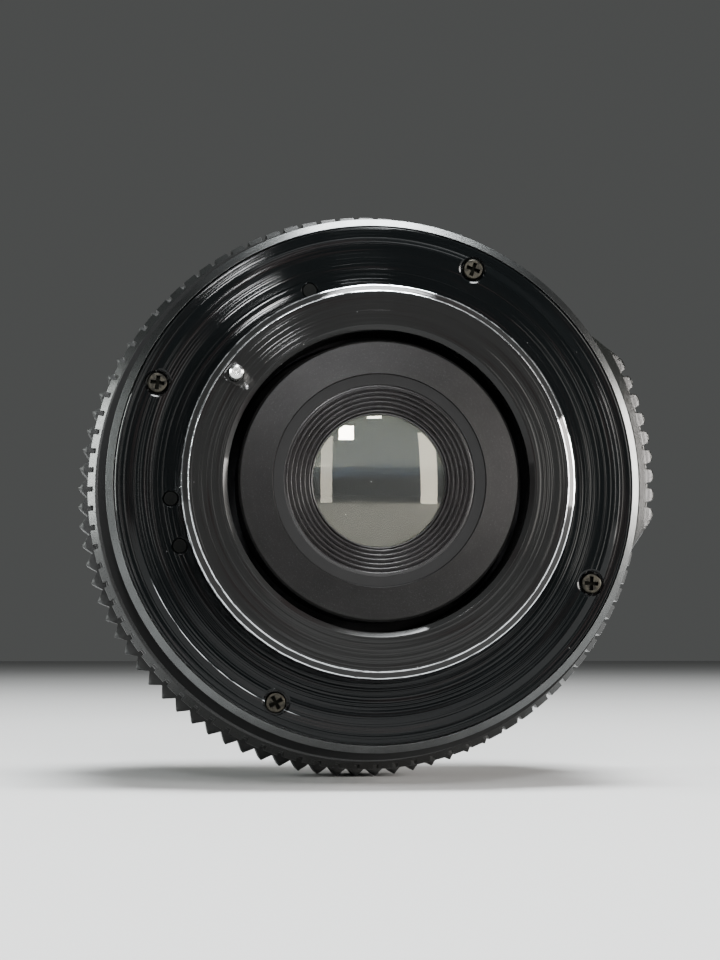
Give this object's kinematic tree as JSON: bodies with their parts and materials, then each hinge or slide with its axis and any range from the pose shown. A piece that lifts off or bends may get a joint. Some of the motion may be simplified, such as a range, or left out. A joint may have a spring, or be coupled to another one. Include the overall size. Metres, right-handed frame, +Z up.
{
  "type": "prime camera lens",
  "caption": "Wide-angle prime camera lens with a 42 mm screw mount, focus ring, aperture ring, iris and stop-down pin.",
  "frame": {"origin": "centre of the flange face that seats on the camera", "axes": "Y is the optical axis, -Y towards the camera and +Y towards the subject; +Z up; +X to the right seen from the camera"},
  "size_m": [0.0656, 0.0539, 0.0656],
  "materials": {
    "gloss_black_metal": "turned, gloss black anodised",
    "satin_black_metal": "fine blasted, satin black anodised",
    "black_metal": "black anodised",
    "matt_black_metal": "matt black paint against reflections",
    "bare_aluminium": "turned, greased",
    "brass": "turned",
    "steel": "bright",
    "black_steel": "blackened",
    "bronze_steel": "worn black oxide",
    "blade_steel": "blued",
    "coated_glass": "polished, coated"
  },
  "bodies": {
    "body": {"mount_flange": "gloss_black_metal", "flange_screws": "bronze_steel", "lever_posts": "gloss_black_metal", "base_barrel": "black_metal", "scale_ring": "gloss_black_metal", "scale_ring_screws": "black_steel", "focus_stop_pin": "steel", "guide_keys": "brass", "key_screws": "steel", "click_ball": "steel", "click_spring": "steel", "lever_axle": "steel", "lever_bracket": "steel", "lever_spring": "steel"},
    "focus_ring": {"focus_ring": "satin_black_metal", "helicoid_nut": "brass", "focus_ring_screws": "black_steel"},
    "lens_block": {"inner_helicoid": "bare_aluminium", "optics_barrel": "matt_black_metal", "barrel_retainer": "matt_black_metal", "front_barrel": "gloss_black_metal", "front_barrel_screws": "steel", "name_ring": "matt_black_metal", "front_element_retainer": "matt_black_metal", "second_element_retainer": "matt_black_metal", "third_element_retainer": "matt_black_metal", "rear_cell": "satin_black_metal", "rear_spacer_1": "matt_black_metal", "rear_spacer_2": "matt_black_metal", "rear_retainer": "matt_black_metal", "iris_plate": "matt_black_metal", "element_1": "coated_glass", "element_2": "coated_glass", "element_3": "coated_glass", "element_4": "coated_glass", "element_5": "coated_glass", "element_6": "coated_glass"},
    "aperture_ring": {"aperture_ring": "satin_black_metal", "aperture_finger": "steel"},
    "iris_ring": {"iris_ring": "brass"},
    "aperture_pin": {"aperture_pin": "steel"},
    "stop_lever": {"stop_down_lever": "steel"},
    "blade_1": {"iris_blade_1": "blade_steel"},
    "blade_2": {"iris_blade_2": "blade_steel"},
    "blade_3": {"iris_blade_3": "blade_steel"},
    "blade_4": {"iris_blade_4": "blade_steel"},
    "blade_5": {"iris_blade_5": "blade_steel"},
    "blade_6": {"iris_blade_6": "blade_steel"}
  },
  "joints": [
    {"name": "focus_turn", "type": "hinge", "parent": "body", "child": "focus_ring", "pos_m": [0, 0.02, 0], "axis": [0, 1, 0], "range_deg": [0, 175]},
    {"name": "lens_slide", "type": "slide", "parent": "body", "child": "lens_block", "axis": [0, 1, 0], "range_m": [0, 0.003]},
    {"name": "aperture_turn", "type": "hinge", "parent": "body", "child": "aperture_ring", "pos_m": [0, 0.004, 0], "axis": [0, -1, 0], "range_deg": [0, 45]},
    {"name": "iris_turn", "type": "hinge", "parent": "lens_block", "child": "iris_ring", "pos_m": [0, 0.0116, 0], "axis": [0, -1, 0], "range_deg": [0, 45]},
    {"name": "pin_press", "type": "slide", "parent": "body", "child": "aperture_pin", "axis": [0, 1, 0], "range_m": [0, 0.0022], "stiffness_N_per_m": 300, "springref_m": -0.002, "deforming": ["lever_spring"]},
    {"name": "lever_swing", "type": "hinge", "parent": "body", "child": "stop_lever", "pos_m": [-0.01721, 0.00466, 0.00526], "axis": [-0.9563, 0, 0.2924], "range_deg": [0, 21]},
    {"name": "blade_1_turn", "type": "hinge", "parent": "lens_block", "child": "blade_1", "pos_m": [0.01178, 0.0126, 0.0068], "axis": [0, 1, 0], "range_deg": [0, 24.4]},
    {"name": "blade_2_turn", "type": "hinge", "parent": "lens_block", "child": "blade_2", "pos_m": [0, 0.0126, 0.0136], "axis": [0, 1, 0], "range_deg": [0, 24.4]},
    {"name": "blade_3_turn", "type": "hinge", "parent": "lens_block", "child": "blade_3", "pos_m": [-0.01178, 0.0126, 0.0068], "axis": [0, 1, 0], "range_deg": [0, 24.4]},
    {"name": "blade_4_turn", "type": "hinge", "parent": "lens_block", "child": "blade_4", "pos_m": [-0.01178, 0.0126, -0.0068], "axis": [0, 1, 0], "range_deg": [0, 24.4]},
    {"name": "blade_5_turn", "type": "hinge", "parent": "lens_block", "child": "blade_5", "pos_m": [0, 0.0126, -0.0136], "axis": [0, 1, 0], "range_deg": [0, 24.4]},
    {"name": "blade_6_turn", "type": "hinge", "parent": "lens_block", "child": "blade_6", "pos_m": [0.01178, 0.0126, -0.0068], "axis": [0, 1, 0], "range_deg": [0, 24.4]}
  ],
  "couplings": [
    {"joint": "lens_slide", "follows": "focus_turn", "m_per_rad": 0.00098221},
    {"joint": "iris_turn", "follows": "aperture_turn", "ratio": 1},
    {"joint": "lever_swing", "follows": "pin_press", "rad_per_m": 165.45},
    {"joint": "blade_1_turn", "follows": "aperture_turn", "ratio": 0.54222},
    {"joint": "blade_2_turn", "follows": "aperture_turn", "ratio": 0.54222},
    {"joint": "blade_3_turn", "follows": "aperture_turn", "ratio": 0.54222},
    {"joint": "blade_4_turn", "follows": "aperture_turn", "ratio": 0.54222},
    {"joint": "blade_5_turn", "follows": "aperture_turn", "ratio": 0.54222},
    {"joint": "blade_6_turn", "follows": "aperture_turn", "ratio": 0.54222}
  ]
}
